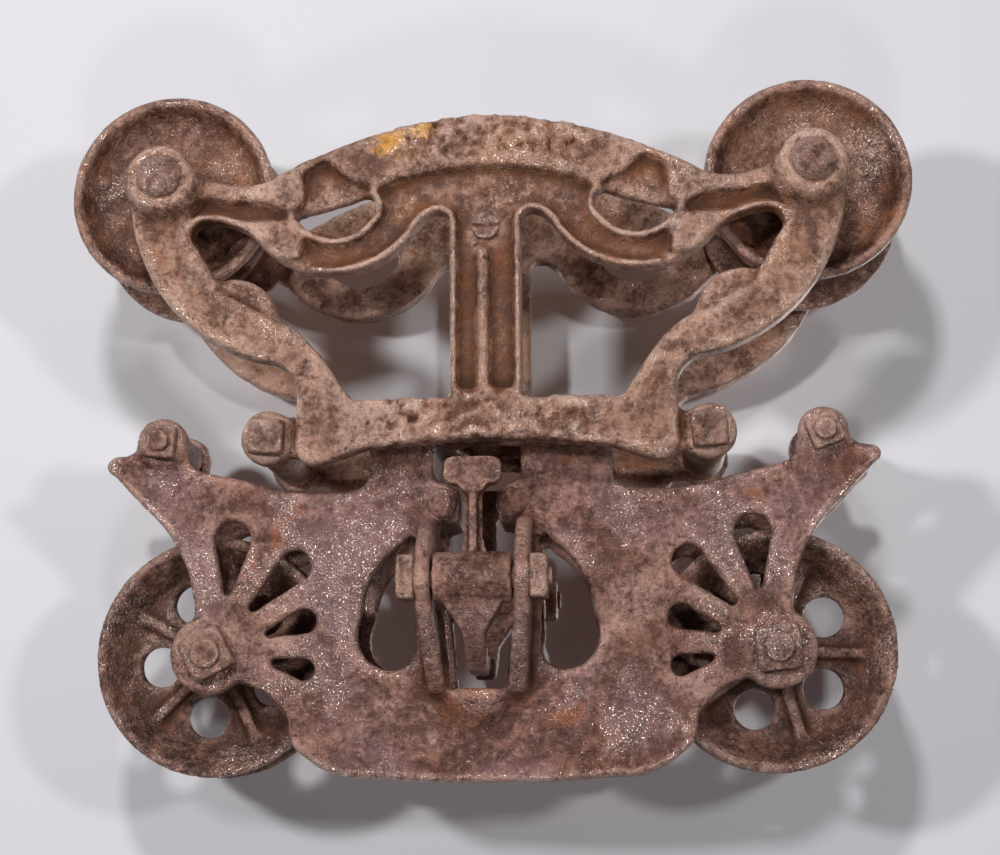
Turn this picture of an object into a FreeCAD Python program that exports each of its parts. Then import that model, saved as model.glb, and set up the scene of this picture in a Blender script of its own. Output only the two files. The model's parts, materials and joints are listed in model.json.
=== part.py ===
import FreeCAD, Part
import math
import os

from FreeCAD import Vector

# Barn hay trolley of cast iron, hung from a rail by four flanged wheels.
# Millimetres. X runs along the rail, Y across it, Z up. The front side faces -Y.
# The origin is midway between the four track wheel axles.

os.makedirs("parts", exist_ok=True)

# Truck
wheel_base = 352.0
axle_x = wheel_base / 2
axle_radius = 8.0
running_gap = 0.08
truck_rim_y = 62.0
truck_floor_y = 55.5
truck_inner_y = 46.0
truck_rim_width = 4.6
window_rim_width = 3.5
boss_radius = 17.3
boss_flare_radius = 24.0
boss_front_y = 72.0
boss_inner_y = 41.0
lug_x = 118.0
lug_z = -142.0
lug_radius = 14.5
lug_front_y = 55.0
lug_bolt_radius = 6.5
fixed_gap = 0.02
post_half_width = 19.0
post_screw_z = -28.0
post_screw_radius = 3.6
bar_top_z = -123.5

# Track wheels
wheel_flange_radius = 57.0
wheel_tread_radius = 45.0
wheel_inner_y = 17.4
wheel_hub_radius = 15.0
wheel_hub_y = 40.5
wheel_web_radius = 39.0
wheel_web_y = 25.0
rivet_radius = 12.2
rivet_height = 7.0

# Swivel
swivel_hole_radius = 31.0
swivel_neck_radius = 30.5
swivel_top_z = -128.0
swivel_bottom_z = -135.5
collar_radius = 38.0
throat_radius = 20.0
swivel_flange_radius = 39.5

# Lower frame. The slot, the ears and the dogs stand left of its middle.
mechanism_x = -7.0
plate_outer_y = 33.0
plate_inner_y = 25.0
sheave_x = 152.0
sheave_z = -256.0
sheave_radius = 66.0
sheave_half_width = 18.0
sheave_hub_y = 24.0
sheave_boss_radius = 21.0
sheave_boss_y = 35.0
sheave_bolt_radius = 8.0
sheave_bush_radius = 12.0
sheave_hole_radius = 11.0
sheave_hole_circle = 33.0
sheave_hole_count = 5
sheave_groove_radius = 53.0
sheave_web_y = 4.0
sheave_rib_y = 8.0
sheave_rib_thickness = 5.0
wing_x = 180.0
wing_z = -140.5
wing_radius = 13.5
wing_bolt_radius = 6.0
pin_x = 18.5
pin_z = -176.0
pin_radius = 5.0
knob_radius = 8.5
knob_height = 6.0
knob_flat_radius = 1.0

# Grab dogs
dog_pivot_y = 66.0
dog_pivot_z = -220.0
dog_barrel_radius = 13.5
dog_barrel_half_length = 20.5
dog_bolt_radius = 5.5
ear_inner_x = 22.0
ear_outer_x = 30.0
bolt_play = 0.1
through_y = 80.0

X_AXIS = Vector(1, 0, 0)
Y_AXIS = Vector(0, 1, 0)
Z_AXIS = Vector(0, 0, 1)
ORIGIN = Vector(0, 0, 0)


def wire_of(steps, place):
    # A step is an end point, or a pair of a point on an arc and its end point.
    edges = []
    here = place(*steps[0])
    for step in steps[1:] + [steps[0]]:
        if isinstance(step[0], tuple):
            through = place(*step[0])
            there = place(*step[1])
            edges.append(Part.Arc(here, through, there).toShape())
        else:
            there = place(*step)
            if there.distanceToPoint(here) > 1e-6:
                edges.append(Part.LineSegment(here, there).toShape())
        here = there
    return Part.Wire(edges)


def plate_xz(steps, y_from, y_to):
    # A solid with an outline in the XZ plane, between two Y levels.
    face = Part.Face(wire_of(steps, lambda x, z: Vector(x, y_from, z)))
    return face.extrude(Vector(0, y_to - y_from, 0))


def plate_yz(steps, x_from, x_to):
    face = Part.Face(wire_of(steps, lambda y, z: Vector(x_from, y, z)))
    return face.extrude(Vector(x_to - x_from, 0, 0))


def rod_y(radius, x, z, y_from, y_to):
    return Part.makeCylinder(radius, y_to - y_from, Vector(x, y_from, z), Y_AXIS)


def rod_x(radius, y, z, x_from, x_to):
    return Part.makeCylinder(radius, x_to - x_from, Vector(x_from, y, z), X_AXIS)


def rod_z(radius, x, y, z_from, z_to):
    return Part.makeCylinder(radius, z_to - z_from, Vector(x, y, z_from), Z_AXIS)


def box(x_from, x_to, y_from, y_to, z_from, z_to):
    return Part.makeBox(x_to - x_from, y_to - y_from, z_to - z_from, Vector(x_from, y_from, z_from))


def turned_y(steps, x, z):
    # A solid of revolution about a line along Y. Its outline is in radius and Y.
    face = Part.Face(wire_of(steps, lambda r, y: Vector(r, y, 0)))
    solid = face.revolve(ORIGIN, Y_AXIS, 360)
    solid.translate(Vector(x, 0, z))
    return solid


def flip_x(shape):
    return shape.mirror(ORIGIN, X_AXIS)


def flip_y(shape):
    return shape.mirror(ORIGIN, Y_AXIS)


def both_x(shape):
    return [shape, flip_x(shape)]


def both_ears(shape):
    # A part of the dogs' mechanism and its mirror image, moved to the mechanism's middle.
    shapes = both_x(shape)
    for item in shapes:
        item.translate(Vector(mechanism_x, 0, 0))
    return shapes


def join(shapes):
    return shapes[0].fuse(shapes[1:]).removeSplitter()


def group(shapes):
    return Part.makeCompound(shapes)


def save(name, shape):
    shape.exportStep("parts/" + name + ".step")
    print(name, len(shape.Solids), round(shape.Volume), shape.isValid())


def square_block(width, x, z, y_from, y_to, turn):
    block = box(-width / 2, width / 2, y_from, y_to, -width / 2, width / 2)
    block.rotate(ORIGIN, Y_AXIS, turn)
    block.translate(Vector(x, 0, z))
    return block


def square_nut(width, hole, x, z, y_from, y_to, turn):
    return square_block(width, x, z, y_from, y_to, turn).cut(rod_y(hole, x, z, y_from, y_to))


def teardrop(big, small):
    # The outline that wraps a large and a small circle, each given as x, z and radius.
    distance = math.hypot(small[0] - big[0], small[1] - big[1])
    heading = math.atan2(small[1] - big[1], small[0] - big[0])
    spread = math.acos((big[2] - small[2]) / distance)

    def on(circle, angle):
        return (circle[0] + circle[2] * math.cos(angle), circle[1] + circle[2] * math.sin(angle))

    return [
        on(big, heading + spread),
        (on(big, heading + math.pi), on(big, heading - spread)),
        on(small, heading - spread),
        (on(small, heading), on(small, heading + spread)),
    ]


# Truck frame: one outline, two teardrop windows and two large loops.
# Each is drawn for +X and mirrored.
truck_half = [
    (0, 34.5),
    ((62, 24), (118, -1)),
    ((138, -3), (160, 6)),
    ((176, 17.5), (194.5, -1)),
    ((191, -31), (174, -66)),
    ((152, -87), (117, -101.5)),
    ((104, -110), (102, -127)),
    (101.5, -143),
    ((99, -155), (91, -158)),
    ((80, -154.5), (68, -150)),
    ((35, -146.3), (0, -145)),
]
eye_window = [
    (104, -20),
    ((84, -14.8), (65, -9)),
    ((59.5, -13), (61.5, -23)),
    ((83, -34), (104, -20)),
]
loop_window = [
    (post_half_width, bar_top_z),
    (post_half_width, -28),
    ((21, -21.5), (28, -20)),
    ((33, -23), (39, -31)),
    ((82, -53.3), (124, -34)),
    ((137, -25), (150, -22)),
    ((159, -25), (157.5, -37)),
    (147, -56),
    ((128, -56.5), (114, -73)),
    (111, -78),
    ((97, -90), (85, -105)),
    (75.5, -119.5),
    ((72, -123), (66, bar_top_z)),
]


def face_xz(steps, y):
    return Part.Face(wire_of(steps, lambda x, z: Vector(x, y, z)))


def mirrored_steps(half):
    # The half outline runs from the top of the middle line down to its foot.
    # Its mirror image is walked back up.
    ends = []
    for step in half:
        ends.append(step[1] if isinstance(step[0], tuple) else step)
    back = []
    for index in range(len(half) - 1, 0, -1):
        end = (-ends[index - 1][0], ends[index - 1][1])
        step = half[index]
        if isinstance(step[0], tuple):
            back.append(((-step[0][0], step[0][1]), end))
        else:
            back.append(end)
    return list(half) + back


def grown(face, distance):
    return Part.Face(face.OuterWire.makeOffset2D(distance))


def slab(face, depth):
    return face.extrude(Vector(0, depth, 0))


# The arch keeps a broad raised panel, and the arms and the bar are raised all over.
arch_panel_half = [
    (0, 60),
    (84, 60),
    (84, 8),
    ((70, -3), (56, -5.5)),
    ((28, 2.5), (0, 5)),
]
bar_panel = (-140, 140, -175, -119)
arm_panels = [(100, 200, -119, -23), (60, 200, -119, -60)]
post_rib = (-4.9, 2.0, -122, -41)
# Over each teardrop window the face slopes away, so its rim stands only below.
eye_hollow = [
    (110, -19),
    (104, -20),
    ((84, -14.8), (65, -9)),
    (59, -6),
    (59, 20),
    (110, 20),
]
# A broad raised band runs from the tip of the teardrop window to the axle boss.
boss_band = [
    (98, 12),
    (155, 12),
    (155, -9),
    (138, -12.5),
    (120, -13),
    (107, -18.5),
    (99, -15),
]
# The lobe on the inner edge of each arm lies lower than the arm.
lobe_zone = [
    (146, -45),
    (146, -60),
    (109, -82),
    (95, -82),
    (95, -45),
]
lobe_depth = 5.0
# A narrow ledge is set back along the top of the arch.
ledge_width = 3.2
ledge_depth = 2.0
ledge_zone = (-95, 95, 5, 60)
lug_web_length = 24.0
lug_web_half_height = 11.0


def raised(zone, depth):
    # A block over a zone given as x from, x to, z from and z to, standing out to the rims.
    return box(zone[0], zone[1], -truck_rim_y, depth - truck_rim_y, zone[2], zone[3])


def truck_valley(outline, windows):
    depth = truck_rim_y - truck_floor_y
    valley = slab(grown(outline, -truck_rim_width), depth)
    proud = [plate_xz(mirrored_steps(arch_panel_half), -truck_rim_y, -truck_floor_y)]
    proud.append(raised(bar_panel, depth))
    proud.append(raised(post_rib, depth))
    for zone in arm_panels:
        proud.extend(both_x(raised(zone, depth)))
    eye_rim, loop_rim = [slab(grown(window, window_rim_width), depth) for window in windows]
    eye_rim = eye_rim.cut(plate_xz(eye_hollow, -truck_rim_y, -truck_floor_y))
    for piece in (eye_rim, loop_rim, plate_xz(boss_band, -truck_rim_y, -truck_floor_y)):
        proud.extend(both_x(piece))
    return valley.cut(proud)


def axle_boss(outline):
    # A round boss that flares out onto the face of the casting.
    boss = rod_y(boss_radius, axle_x, 0, -boss_front_y, -boss_inner_y)
    foot = Vector(axle_x, -boss_front_y, 0)
    flare = Part.makeCone(boss_radius, boss_flare_radius, boss_front_y - truck_rim_y, foot, Y_AXIS)
    base = rod_y(boss_flare_radius, axle_x, 0, -truck_rim_y, -truck_inner_y)
    flare = flare.common(slab(outline, truck_rim_y - boss_front_y))
    base = base.common(slab(outline, truck_rim_y - truck_inner_y))
    return join([boss, flare, base])


def truck_lug():
    eye = rod_y(lug_radius, lug_x, lug_z, -lug_front_y, -truck_inner_y + 3)
    z_from = lug_z - lug_web_half_height
    z_to = lug_z + lug_web_half_height
    web = box(lug_x - lug_web_length, lug_x, -lug_front_y + 1, -truck_inner_y, z_from, z_to)
    return [eye, web]


def truck_frame():
    outline = face_xz(mirrored_steps(truck_half), -truck_rim_y)
    windows = [face_xz(steps, -truck_rim_y) for steps in (eye_window, loop_window)]
    depth = truck_rim_y - truck_inner_y
    body = slab(outline, depth)
    for window in windows:
        body = body.cut(both_x(slab(window, depth)))
    body = body.cut(truck_valley(outline, windows))
    body = body.cut(both_x(plate_xz(lobe_zone, -truck_rim_y, lobe_depth - truck_rim_y)))
    edge = slab(outline, ledge_depth).cut(slab(grown(outline, -ledge_width), ledge_depth))
    body = body.cut(edge.common(raised(ledge_zone, ledge_depth)))
    additions = both_x(axle_boss(outline))
    for piece in truck_lug():
        additions.extend(both_x(piece))
    body = join([body] + additions)
    holes = [rod_y(post_screw_radius, 0, post_screw_z, -through_y, 0)]
    for side in (-1, 1):
        holes.append(rod_y(axle_radius, side * axle_x, 0, -through_y, 0))
        holes.append(rod_y(lug_bolt_radius + fixed_gap, side * lug_x, lug_z, -through_y, 0))
    return body.cut(holes)


front_truck = truck_frame()
save("truck_frame_front", front_truck)
save("truck_frame_back", flip_y(front_truck))


# Axle: a stub with a domed rivet head outside and an upset end over its washer.
axle_end_y = wheel_inner_y - 2.2
axle_washer_radius = 13.0
axle_washer_play = 0.4


def axle():
    head_y = -boss_front_y
    end_y = -axle_end_y
    steps = [
        (0, head_y - rivet_height),
        ((8.5, head_y - 5.4), (rivet_radius, head_y - 1.5)),
        (rivet_radius, head_y),
        (axle_radius, head_y),
        (axle_radius, end_y),
        (axle_radius + 2, end_y),
        (axle_radius + 1, end_y + 2),
        (0, end_y + 2),
    ]
    return turned_y(steps, axle_x, 0)


def axle_washer():
    washer_from = -wheel_inner_y + axle_washer_play
    washer = rod_y(axle_washer_radius, axle_x, 0, washer_from, -axle_end_y)
    return washer.cut(rod_y(axle_radius + fixed_gap, axle_x, 0, -wheel_inner_y, 0))


# Track wheel: flange outside, tread inside, a dished web and a plain hub.
def track_wheel():
    bore = axle_radius + running_gap
    steps = [
        (bore, -wheel_hub_y),
        (wheel_hub_radius, -wheel_hub_y),
        ((16.5, -32), (22, -29)),
        (36, -29),
        ((45, -30.5), (50, -36)),
        ((54, -39.6), (wheel_flange_radius, -36.5)),
        (wheel_flange_radius, -33),
        (wheel_tread_radius + 3, -29),
        (wheel_tread_radius, -26.5),
        (wheel_tread_radius, -wheel_inner_y),
        (wheel_web_radius, -wheel_inner_y),
        (wheel_web_radius, -wheel_web_y),
        (wheel_hub_radius, -wheel_web_y),
        (wheel_hub_radius, -wheel_inner_y),
        (bore, -wheel_inner_y),
    ]
    return turned_y(steps, axle_x, 0)


corners = {
    "front_right": lambda shape: shape,
    "front_left": flip_x,
    "back_right": flip_y,
    "back_left": lambda shape: flip_x(flip_y(shape)),
}
for corner, place in corners.items():
    save("axle_" + corner, place(axle()))
    save("track_wheel_" + corner, place(track_wheel()))
save("axle_washers", group([place(axle_washer()) for place in corners.values()]))


# Lug bolts tie the two truck frames together through the eyes of the swivel plate.
lug_head_width = 19.0
lug_head_height = 8.0


def lug_bolt():
    head = square_block(lug_head_width, lug_x, lug_z, -lug_front_y - lug_head_height, -lug_front_y, 4)
    return join([head, rod_y(lug_bolt_radius, lug_x, lug_z, -lug_front_y, lug_front_y + 11)])


def lug_nut():
    nut_to = lug_front_y + lug_head_height
    hole = lug_bolt_radius + fixed_gap
    return square_nut(lug_head_width, hole, lug_x, lug_z, lug_front_y, nut_to, 20)


save("lug_bolts", group(both_x(lug_bolt())))
save("lug_nuts", group(both_x(lug_nut())))


# Slotted screw in each post, with a square nut on the inner side of the casting.
post_screw_head_radius = 7.5
post_screw_head_height = 3.0
post_slot_half_width = 0.8
post_slot_depth = 1.4
post_nut_width = 12.0
post_nut_height = 5.0


def post_screw():
    top_y = -truck_floor_y - post_screw_head_height
    head = rod_y(post_screw_head_radius, 0, post_screw_z, top_y, -truck_floor_y)
    z_from = post_screw_z - post_slot_half_width
    z_to = post_screw_z + post_slot_half_width
    half_length = post_screw_head_radius + 1
    head = head.cut(box(-half_length, half_length, top_y, top_y + post_slot_depth, z_from, z_to))
    shank_to = -truck_inner_y + post_nut_height + 2
    return join([head, rod_y(post_screw_radius, 0, post_screw_z, -truck_floor_y, shank_to)])


def post_nut():
    nut_to = -truck_inner_y + post_nut_height
    hole = post_screw_radius + fixed_gap
    return square_nut(post_nut_width, hole, 0, post_screw_z, -truck_inner_y, nut_to, 8)


save("post_screws", group([post_screw(), flip_y(post_screw())]))
save("post_screw_nuts", group([post_nut(), flip_y(post_nut())]))


# Swivel plate: a ring between the truck frames, with an arm and an eye each side.
eye_radius = 12.0
eye_half_length = 42.8
swivel_arm_half_width = 14.0


def swivel_plate():
    arm = swivel_arm_half_width
    parts = [
        rod_z(truck_inner_y - 0.5, 0, 0, swivel_bottom_z, swivel_top_z),
        box(-lug_x, lug_x, -arm, arm, swivel_bottom_z, swivel_top_z),
    ]
    for side in (-1, 1):
        parts.append(rod_y(eye_radius, side * lug_x, lug_z, -eye_half_length, eye_half_length))
    holes = [rod_z(swivel_hole_radius, 0, 0, swivel_bottom_z, swivel_top_z)]
    for side in (-1, 1):
        hole = lug_bolt_radius + bolt_play
        holes.append(rod_y(hole, side * lug_x, lug_z, -eye_half_length, eye_half_length))
    return join(parts).cut(holes)


save("swivel_plate", swivel_plate())


# Swivel spool: hangs in the ring and carries the lower frame by two cheeks and two pins.
spool_shoulder_z = swivel_bottom_z - 0.5
spool_flange_z = spool_shoulder_z - 7.0
collar_z = swivel_top_z + 0.4
collar_height = 8.0
spigot_radius = 26.0
cheek_y = plate_inner_y - 0.1
cheek_inner_x = 24.0
cheek_outer_x = 32.0
pin_eye_inner_x = 11.0
pin_eye_half_height = 9.5


def swivel_spool():
    flange = rod_z(swivel_flange_radius, 0, 0, spool_flange_z, spool_shoulder_z)
    reach = swivel_flange_radius
    parts = [
        flange.common(box(-reach, reach, -cheek_y, cheek_y, spool_flange_z, spool_shoulder_z)),
        rod_z(swivel_neck_radius, 0, 0, spool_shoulder_z, collar_z),
        rod_z(spigot_radius, 0, 0, collar_z, collar_z + collar_height),
    ]
    body = join(parts).cut(rod_z(throat_radius, 0, 0, spool_flange_z, collar_z + collar_height))
    eye_from = pin_z - pin_eye_half_height
    eye_to = pin_z + pin_eye_half_height
    cheek = box(cheek_inner_x, cheek_outer_x, -cheek_y, cheek_y, eye_from, spool_shoulder_z)
    eye = box(pin_eye_inner_x, cheek_outer_x, -cheek_y, cheek_y, eye_from, eye_to)
    body = join([body] + both_ears(join([cheek, eye])))
    return body.cut(both_ears(rod_y(pin_radius + fixed_gap, pin_x, pin_z, -cheek_y, cheek_y)))


def swivel_collar():
    ring = rod_z(collar_radius, 0, 0, collar_z, collar_z + collar_height)
    return ring.cut(rod_z(spigot_radius + fixed_gap, 0, 0, collar_z, collar_z + collar_height))


save("swivel_spool", swivel_spool())
save("swivel_collar", swivel_collar())


# Lower frame: a broad plate with a winged outline, spoke slots round each sheave,
# a kidney window beside the dog on each side and a slot down the middle.
lower_top_z = -137.5
lower_half = [
    (0, lower_top_z),
    (66, lower_top_z),
    (66, -157),
    ((68.5, -165.5), (77, -168.5)),
    ((104, -169), (132, -162.5)),
    ((150, -158.5), (160, -156)),
    ((165, -152), (167, -145)),
    ((180, -127), (193.5, -142)),
    ((200, -147), (206, -147.5)),
    ((210, -151.5), (206.5, -157)),
    (188, -176.5),
    ((166, -207), (160.5, -232)),
    (158, -256),
    (140, -271),
    ((118, -279), (108.5, -292)),
    ((107, -303), (100, -310)),
    ((88, -318), (66, -321.5)),
    ((33, -324), (0, -324.5)),
]
kidney_window = [
    (33.5, -246),
    (33.5, -199),
    ((35, -193.5), (39.5, -196.5)),
    ((56, -213), (62.5, -236)),
    ((60, -260), (46, -266)),
    ((36, -261), (33.5, -246)),
]
slot_half = [
    (0, lower_top_z + 5),
    (24, lower_top_z + 5),
    (24, -163),
    ((13.5, -168.5), (10, pin_z)),
    ((12.5, -182.5), (20.5, -186)),
    (20.5, -225),
    (15.5, -272),
    ((9, -278), (0, -279)),
]
spoke_slots = [
    ((140.5, -194, 10.5), (143, -222, 2.5)),
    ((106, -209, 9.0), (129, -231, 2.5)),
    ((101, -238.5, 7.0), (120, -245, 2.5)),
    ((101, -264.5, 6.0), (117, -260.5, 2.5)),
]
# The ear that holds the dog bolt, from the front and from the side.
ear_front = [
    (ear_inner_x, -183),
    (ear_outer_x, -183),
    (ear_outer_x, -232),
    (26, -281),
    (16, -281),
    (ear_inner_x, -232),
]
ear_side = [
    (-30, -183),
    (-36, -184.5),
    ((-60, -194), (-74, -210)),
    ((-79, -220), (-74, -231)),
    ((-58, -256), (-40, -278)),
    (-30, -281),
]
# A bead stands along the outer edge of the wings and along the foot.
bead_height = 2.6
bead_width = 4.2
bead_zones = [(-120, 120, -330, -303), (170, 220, -215, -150), (-220, -170, -215, -150)]
wing_boss_y = plate_outer_y + 3
# Under the slot the wall bulges out into a hollow half dome with an open top.
lip_z = -276.0
lip_centre_y = -18.0
lip_radius = 25.0
lip_hollow_radius = 18.0


def lower_holes():
    holes = []
    for side in (-1, 1):
        holes.append(rod_y(sheave_bolt_radius + bolt_play, side * sheave_x, sheave_z, -through_y, 0))
        holes.append(rod_y(wing_bolt_radius + bolt_play, side * wing_x, wing_z, -through_y, 0))
    holes.extend(both_ears(rod_y(pin_radius + fixed_gap, pin_x, pin_z, -through_y, 0)))
    bolt_reach = 2 * ear_outer_x
    holes.append(rod_x(dog_bolt_radius + bolt_play, -dog_pivot_y, dog_pivot_z, -bolt_reach, bolt_reach))
    return holes


def lower_beads(outline):
    bead = slab(outline, -bead_height).cut(slab(grown(outline, -bead_width), -bead_height))
    beads = []
    for x_from, x_to, z_from, z_to in bead_zones:
        zone = box(x_from, x_to, -plate_outer_y - bead_height, -plate_outer_y, z_from, z_to)
        beads.append(bead.common(zone))
    return beads


def lower_frame():
    outline = face_xz(mirrored_steps(lower_half), -plate_outer_y)
    body = slab(outline, plate_outer_y - plate_inner_y)
    slot = plate_xz(mirrored_steps(slot_half), -plate_outer_y, -plate_inner_y)
    slot.translate(Vector(mechanism_x, 0, 0))
    windows = [slot]
    windows.extend(both_ears(plate_xz(kidney_window, -plate_outer_y, -plate_inner_y)))
    for big, small in spoke_slots:
        windows.extend(both_x(plate_xz(teardrop(big, small), -plate_outer_y, -plate_inner_y)))
    body = body.cut(windows)
    additions = lower_beads(outline)
    ear = plate_xz(ear_front, -through_y, -plate_inner_y).common(plate_yz(ear_side, 0, through_y))
    additions.extend(both_ears(ear))
    hub = rod_y(sheave_boss_radius, sheave_x, sheave_z, -sheave_boss_y, -plate_inner_y)
    wing = rod_y(wing_radius, wing_x, wing_z, -wing_boss_y, -plate_inner_y)
    additions.extend(both_x(hub))
    additions.extend(both_x(wing))
    lip_centre = Vector(mechanism_x, lip_centre_y, lip_z)
    reach = 2 * lip_radius
    below = box(-reach, reach, -reach, -plate_inner_y, lip_z - reach, lip_z)
    additions.append(Part.makeSphere(lip_radius, lip_centre).common(below))
    body = join([body] + additions)
    body = body.cut(Part.makeSphere(lip_hollow_radius, lip_centre))
    return body.cut(lower_holes())


front_lower = lower_frame()
save("lower_frame_front", front_lower)
save("lower_frame_back", flip_y(front_lower))


# Neck pins: through both plates and the spool, with round heads.
def neck_pin():
    head_y = plate_outer_y
    top_y = head_y + knob_height
    steps = [
        (0, -top_y),
        (knob_flat_radius, -top_y),
        ((6, 1.6 - top_y), (knob_radius, -head_y)),
        (pin_radius, -head_y),
        (pin_radius, head_y),
        (knob_radius, head_y),
        ((6, top_y - 1.6), (knob_flat_radius, top_y)),
        (0, top_y),
    ]
    return turned_y(steps, pin_x, pin_z)


save("neck_pins", group(both_ears(neck_pin())))


# Rope sheave: two flanges round a rope groove, a thin web with five round holes,
# five ribs on each face and a long hub on a bush.
def sheave(first_angle):
    bore = sheave_bush_radius + running_gap
    rim = sheave_radius
    half = sheave_half_width
    steps = [
        (bore, -sheave_hub_y),
        (17.5, -sheave_hub_y),
        (19, -sheave_web_y),
        (46, -sheave_web_y),
        ((53.5, -11), (60, -half + 1.5)),
        ((62.8, -half - 0.6), (rim, -half + 1.5)),
        (rim, -half + 3),
        ((sheave_groove_radius, 0), (rim, half - 3)),
        (rim, half - 1.5),
        ((62.8, half + 0.6), (60, half - 1.5)),
        ((53.5, 11), (46, sheave_web_y)),
        (19, sheave_web_y),
        (17.5, sheave_hub_y),
        (bore, sheave_hub_y),
    ]
    body = turned_y(steps, 0, 0)
    pitch = 360.0 / sheave_hole_count
    rib_half = sheave_rib_thickness / 2
    ribs = []
    holes = []
    for index in range(sheave_hole_count):
        rib = box(17, 51.5, -sheave_rib_y, sheave_rib_y, -rib_half, rib_half)
        rib.rotate(ORIGIN, Y_AXIS, -(first_angle + pitch * (index + 0.5)))
        ribs.append(rib)
        hole = rod_y(sheave_hole_radius, sheave_hole_circle, 0, -sheave_rib_y, sheave_rib_y)
        hole.rotate(ORIGIN, Y_AXIS, -(first_angle + pitch * index))
        holes.append(hole)
    return join([body] + ribs).cut(holes)


bush_play = 0.05


def sheave_bush():
    bush = rod_y(sheave_bush_radius, sheave_x, sheave_z, -plate_inner_y, plate_inner_y)
    hole = sheave_bolt_radius + bush_play
    return bush.cut(rod_y(hole, sheave_x, sheave_z, -plate_inner_y, plate_inner_y))


for name, side, first_angle in (("left", -1, -28.0), ("right", 1, 34.0)):
    body = sheave(first_angle)
    body.translate(Vector(side * sheave_x, 0, sheave_z))
    save("sheave_" + name, body)
save("sheave_bushes", group(both_x(sheave_bush())))


# Sheave bolts: square heads behind, square nuts in front.
sheave_nut_width = 24.0
sheave_nut_height = 8.5
sheave_bolt_end = 2.5


def sheave_bolt():
    head_to = sheave_boss_y + sheave_nut_height
    head = square_block(sheave_nut_width, sheave_x, sheave_z, sheave_boss_y, head_to, 12)
    shank_from = -sheave_boss_y - sheave_nut_height - sheave_bolt_end
    return join([head, rod_y(sheave_bolt_radius, sheave_x, sheave_z, shank_from, sheave_boss_y)])


def sheave_nut(side, turn):
    x = side * sheave_x
    nut_from = -sheave_boss_y - sheave_nut_height
    hole = sheave_bolt_radius + fixed_gap
    return square_nut(sheave_nut_width, hole, x, sheave_z, nut_from, -sheave_boss_y, turn)


save("sheave_bolts", group(both_x(sheave_bolt())))
save("sheave_nuts", group([sheave_nut(-1, -28), sheave_nut(1, -6)]))


# Wing bolts: each passes through a spacer tube that keeps the rope in its sheave.
wing_nut_width = 18.0
wing_nut_height = 7.5
wing_bolt_end = 3.0
wing_spacer_radius = 10.5
wing_spacer_play = 0.3


def wing_bolt():
    head_to = wing_boss_y + wing_nut_height
    head = square_block(wing_nut_width, wing_x, wing_z, wing_boss_y, head_to, 30)
    shank_from = -wing_boss_y - wing_nut_height - wing_bolt_end
    return join([head, rod_y(wing_bolt_radius, wing_x, wing_z, shank_from, wing_boss_y)])


def wing_nut(side, turn):
    x = side * wing_x
    nut_from = -wing_boss_y - wing_nut_height
    hole = wing_bolt_radius + fixed_gap
    return square_nut(wing_nut_width, hole, x, wing_z, nut_from, -wing_boss_y, turn)


def wing_spacer():
    tube = rod_y(wing_spacer_radius, wing_x, wing_z, -plate_inner_y, plate_inner_y)
    hole = wing_bolt_radius + wing_spacer_play
    return tube.cut(rod_y(hole, wing_x, wing_z, -plate_inner_y, plate_inner_y))


save("wing_bolts", group(both_x(wing_bolt())))
save("wing_nuts", group([wing_nut(-1, 8), wing_nut(1, -20)]))
save("wing_spacers", group(both_x(wing_spacer())))


# Dog: a trip head on a stem above its barrel, and a claw below that reaches
# in through the slot of the lower frame.
dog_stem_front_y = -66.5
dog_stem_back_y = -57.5
dog_flange_thickness = 3.0
dog_rib_half_width = 2.2
dog_head_y = (-68.0, -56.0)
dog_head_front = [
    (-11, -156),
    (11, -156),
    ((14.4, -158), (15, -163)),
    ((13.5, -169.5), (8, -170.5)),
    (5, -175),
    (-5, -175),
    (-8, -170.5),
    ((-13.5, -169.5), (-15, -163)),
    ((-14.4, -158), (-11, -156)),
]
dog_flange_front = [
    (-5, -172),
    (5, -172),
    (5, -198),
    (7, -206),
    (7, -212),
    (-7, -212),
    (-7, -206),
    (-5, -198),
]
dog_arm_side = [
    (-74, -228),
    ((-63, -251), (-41, -267)),
    (-20, -268.5),
    ((-13.5, -264), (-14.5, -256)),
    (-22, -257),
    ((-45, -251), (-56, -226)),
]
dog_web_front = [
    (-17, -224),
    (17, -224),
    (14.5, -235),
    (6, -248),
    (5, -272),
    (-5, -272),
    (-6, -248),
    (-14.5, -235),
]


def dog():
    y = -dog_pivot_y
    half = dog_barrel_half_length
    rib = dog_rib_half_width
    rib_top_z = dog_head_front[4][1] + 1
    parts = [
        rod_x(dog_barrel_radius, y, dog_pivot_z, -half, half),
        plate_xz(dog_head_front, dog_head_y[0], dog_head_y[1]),
        plate_xz(dog_flange_front, dog_stem_back_y - dog_flange_thickness, dog_stem_back_y),
        box(-rib, rib, dog_stem_front_y, dog_stem_back_y, dog_pivot_z + dog_bolt_radius, rib_top_z),
        plate_yz(dog_arm_side, -half, half).common(plate_xz(dog_web_front, -through_y, 0)),
    ]
    hole = rod_x(dog_bolt_radius + running_gap, y, dog_pivot_z, -half, half)
    body = join(parts).cut(hole)
    body.translate(Vector(mechanism_x, 0, 0))
    return body


save("dog_front", dog())
save("dog_back", flip_y(dog()))


# Dog bolts: square heads on one side, square nuts on the other, through both ears.
dog_nut_width = 23.0
dog_nut_height = 9.5
dog_bolt_end = 2.0


def dog_fastener(x_from, x_to):
    y = -dog_pivot_y
    half = dog_nut_width / 2
    return box(x_from, x_to, y - half, y + half, dog_pivot_z - half, dog_pivot_z + half)


def dog_bolt():
    head_to = mechanism_x - ear_outer_x
    head = dog_fastener(head_to - dog_nut_height, head_to)
    shank_to = mechanism_x + ear_outer_x + dog_nut_height + dog_bolt_end
    return join([head, rod_x(dog_bolt_radius, -dog_pivot_y, dog_pivot_z, head_to, shank_to)])


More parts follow.
